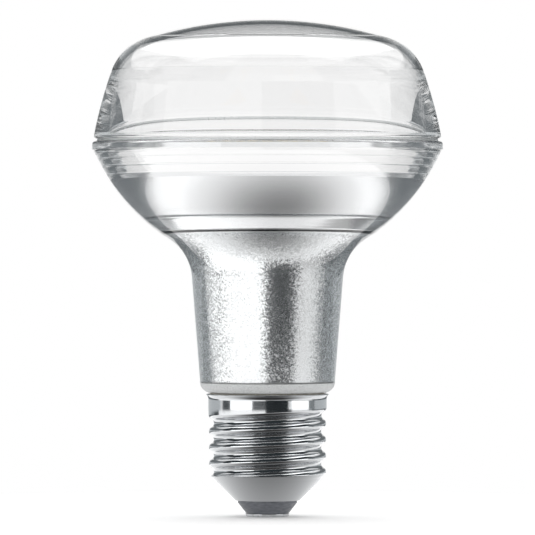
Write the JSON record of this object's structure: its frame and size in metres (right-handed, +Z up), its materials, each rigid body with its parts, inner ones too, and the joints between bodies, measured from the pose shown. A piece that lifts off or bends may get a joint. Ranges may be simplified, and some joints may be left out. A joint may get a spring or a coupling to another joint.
{
  "type": "reflector bulb",
  "caption": "Reflector lamp with a clear domed lens on a mirrored glass bowl and neck, an LED board and driver inside, and a screw cap with a base contact.",
  "frame": {"origin": "centre of the base contact's lower face, where the lamp meets its socket", "axes": "+Z up the lamp's axis from the base contact to the top of the dome; +X and +Y are square to it, with +Y from the viewer into the picture"},
  "size_m": [0.079, 0.079, 0.112],
  "materials": {
    "lens_glass": "clear pressed glass",
    "silicone": "clear silicone, satin",
    "mirrored_glass": "glass with a mirror coating inside the bowl and grey grain inside the neck",
    "cement": "baked cement, matt",
    "nickel": "nickel-plated sheet, polished",
    "insulator": "moulded, satin",
    "contact": "nickel-plated, turned",
    "spreader": "drawn sheet, satin",
    "thermal_pad": "soft silicone sheet",
    "board_white": "white solder resist",
    "led_body": "white moulded",
    "phosphor": "yellow phosphor gel",
    "screw_steel": "zinc-plated",
    "header": "white moulded",
    "tinned_brass": "tinned",
    "housing": "white moulded",
    "circuit_board": "green solder resist",
    "resistor_body": "lacquered",
    "film_box": "moulded box",
    "can_sleeve": "shrunk sleeve on a can",
    "ferrite": "pressed, matt",
    "bobbin": "moulded",
    "winding": "enamelled copper wire",
    "chip_black": "moulded"
  },
  "bodies": {
    "root": {"front_lens": "lens_glass", "lens_seal": "silicone", "glass_body": "mirrored_glass", "cap_cement": "cement", "cap_shell": "nickel", "cap_insulator": "insulator", "centre_contact": "contact", "heat_spreader": "spreader", "thermal_pad": "thermal_pad", "led_board": "board_white", "led_packages": "led_body", "led_phosphor": "phosphor", "board_screws": "screw_steel", "pin_header": "header", "header_pins": "tinned_brass", "driver_housing": "housing", "driver_board": "circuit_board", "fuse_resistor": "resistor_body", "film_capacitor": "film_box", "bulk_capacitor": "can_sleeve", "transformer_core": "ferrite", "transformer_bobbin": "bobbin", "transformer_winding": "winding", "bridge_rectifier": "chip_black", "driver_chip": "chip_black", "output_diode": "chip_black", "chip_resistors": "chip_black", "contact_wire": "tinned_brass", "shell_wire": "tinned_brass"}
  },
  "joints": []
}
